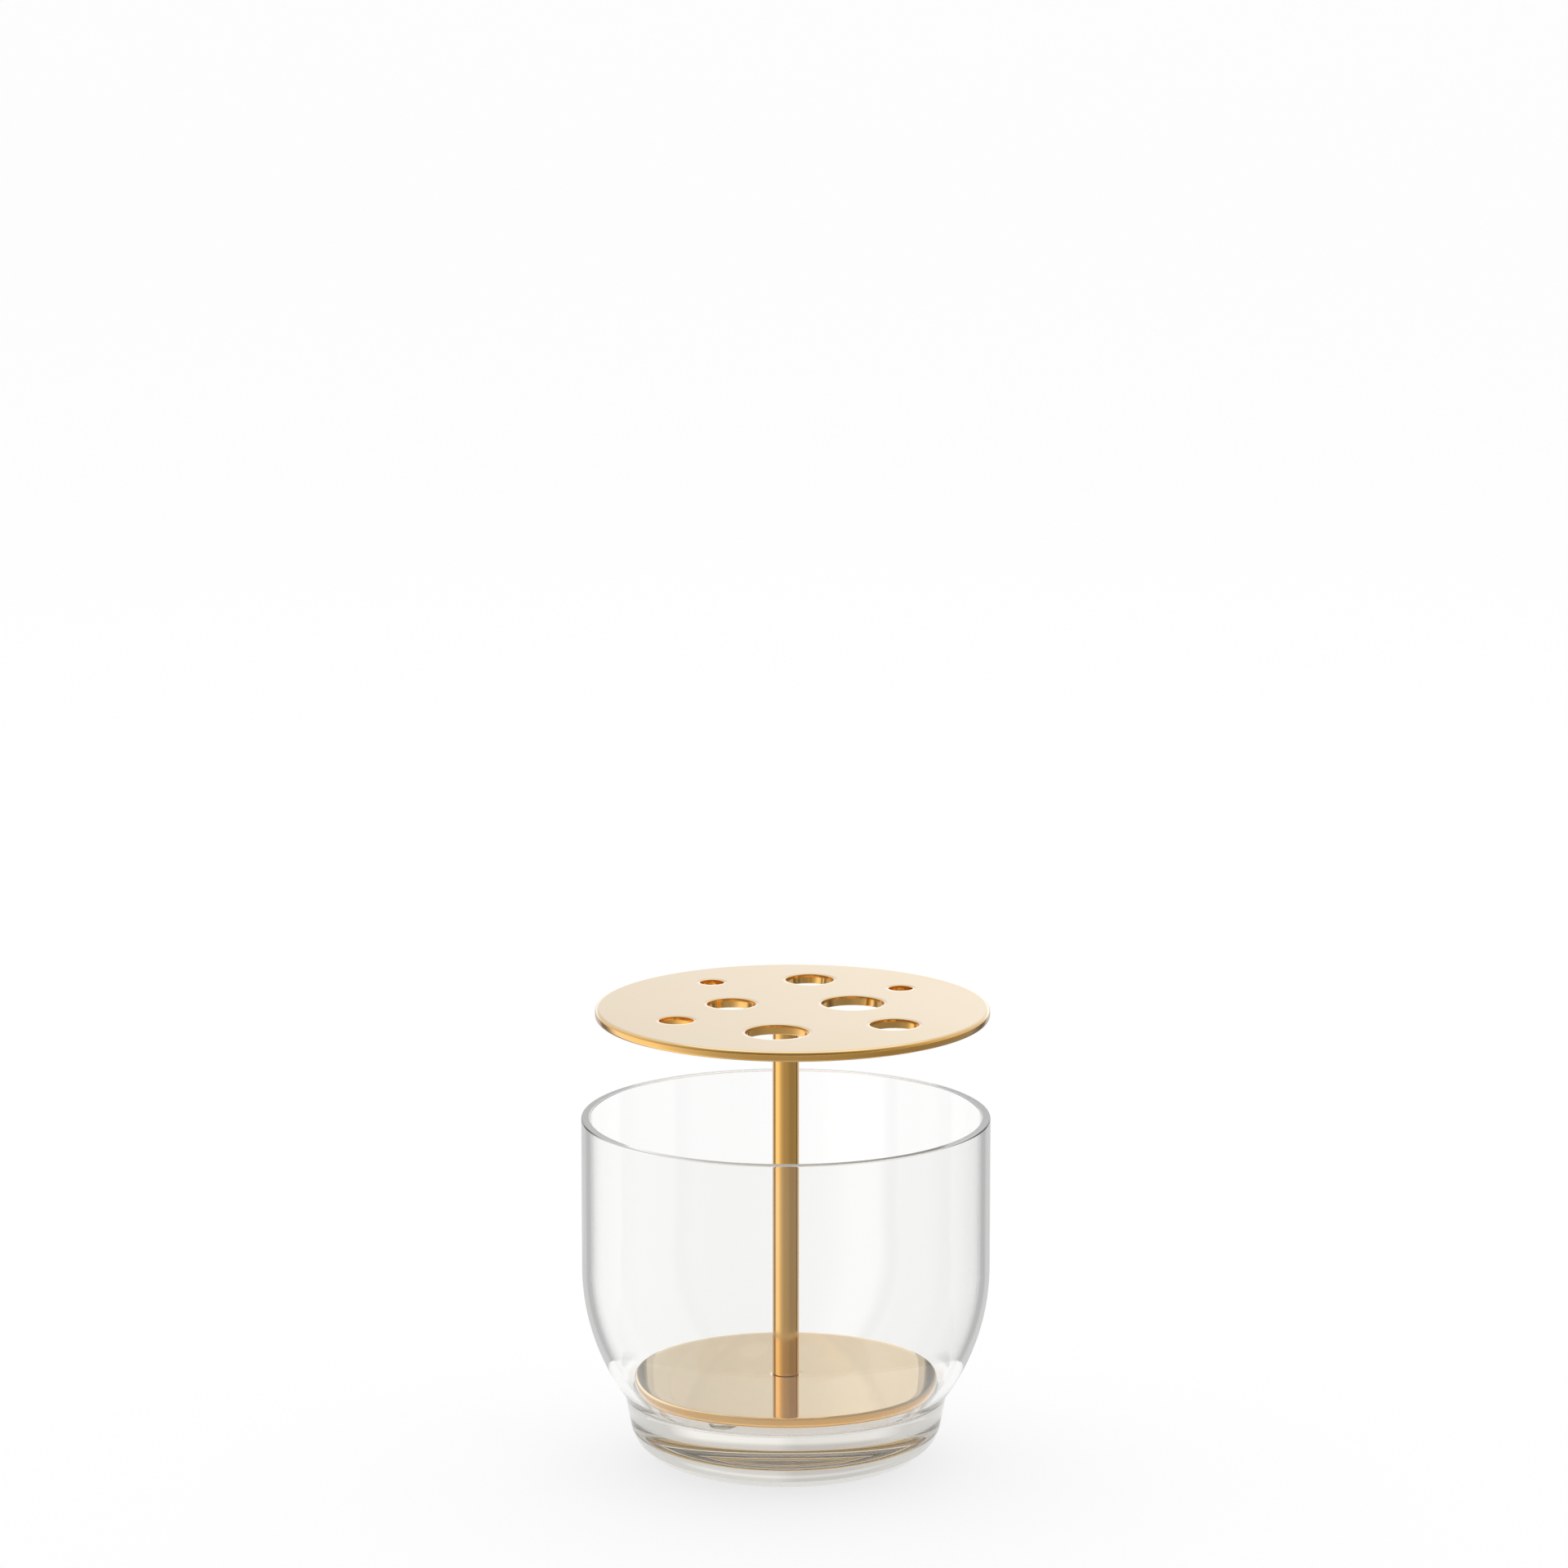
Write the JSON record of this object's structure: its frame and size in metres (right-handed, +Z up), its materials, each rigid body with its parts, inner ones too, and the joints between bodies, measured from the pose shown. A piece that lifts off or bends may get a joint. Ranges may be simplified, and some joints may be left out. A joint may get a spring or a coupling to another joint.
{
  "type": "flower frog",
  "caption": "Clear glass vase with a brass flower frog: a pierced round plate above the rim, on a column with a round foot plate in the bowl.",
  "frame": {"origin": "on the vase's axis, at the table under its foot", "axes": "+Z up along the vase's axis and the frog's column; -Y is the front; +X is the side that the upper plate is offset to"},
  "size_m": [0.13, 0.13, 0.1464],
  "materials": {
    "glass": "clear, fire-polished rim",
    "polished_brass": "polished",
    "drawn_brass": "polished drawn bar",
    "stud_brass": "plain, brazed under the plate",
    "clear_silicone": "clear, soft",
    "screw_steel": "stainless"
  },
  "bodies": {
    "vase": {"glass_vase": "glass"},
    "frog_foot": {"lower_plate": "polished_brass", "bumper_1": "clear_silicone", "bumper_2": "clear_silicone", "bumper_3": "clear_silicone", "bumper_4": "clear_silicone"},
    "frog_top": {"column": "drawn_brass", "base_screw": "screw_steel", "top_stud": "stud_brass", "upper_plate": "polished_brass"}
  },
  "joints": [
    {"name": "frog_lift", "type": "slide", "parent": "vase", "child": "frog_foot", "axis": [0, 0, 1], "range_m": [0, 0.12]},
    {"name": "frog_turn", "type": "hinge", "parent": "frog_foot", "child": "frog_top", "pos_m": [0, 0, 0.0262], "axis": [0, 0, 1], "continuous": true}
  ]
}
